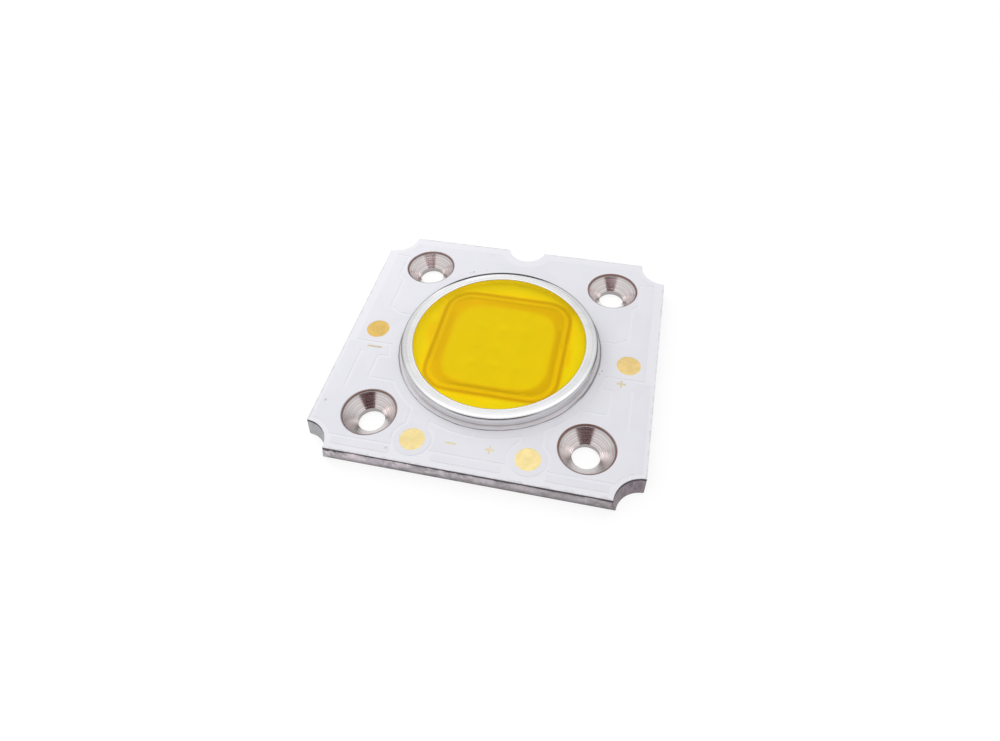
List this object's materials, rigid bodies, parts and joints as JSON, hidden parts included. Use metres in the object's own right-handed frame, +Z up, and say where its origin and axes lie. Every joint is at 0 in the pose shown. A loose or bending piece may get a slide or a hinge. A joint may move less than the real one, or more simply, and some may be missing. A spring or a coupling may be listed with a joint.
{
  "type": "chip-on-board led module",
  "caption": "Square metal-core board with countersunk screw holes, gold solder pads and a polished ring holding yellow phosphor gel over an array of light-emitting dies.",
  "frame": {"origin": "centre of the board's underside, which is the thermal face and the centre of the screw pattern", "axes": "+Z up out of the lit face, +Y to the edge with the locating notch, +X to the positive side pad"},
  "size_m": [0.0382, 0.0362, 0.0037],
  "materials": {
    "aluminium_core": "sawn edges, turned countersinks",
    "dielectric": "dark filled resin",
    "copper": "etched copper foil",
    "white_mask": "satin white solder mask",
    "gold_plate": "flash gold plating, satin",
    "ring_metal": "polished turned metal",
    "adhesive": "cured white adhesive",
    "phosphor_gel": "clear silicone with yellow phosphor, glossy",
    "die": "sapphire die",
    "attach": "silver-filled adhesive",
    "gold_wire": "drawn gold wire"
  },
  "bodies": {
    "root": {"core_plate": "aluminium_core", "dielectric_layer": "dielectric", "negative_track": "copper", "positive_track": "copper", "copper_fields": "copper", "solder_mask": "white_mask", "left_pad": "gold_plate", "right_pad": "gold_plate", "front_left_pad": "gold_plate", "front_right_pad": "gold_plate", "left_minus_mark": "gold_plate", "right_plus_mark": "gold_plate", "front_minus_mark": "gold_plate", "front_plus_mark": "gold_plate", "negative_rail": "gold_plate", "positive_rail": "gold_plate", "left_neck_pad": "gold_plate", "right_neck_pad": "gold_plate", "dam_ring": "ring_metal", "ring_adhesive": "adhesive", "phosphor_gel": "phosphor_gel", "led_dies": "die", "die_attach": "attach", "bond_wires": "gold_wire"}
  },
  "joints": []
}
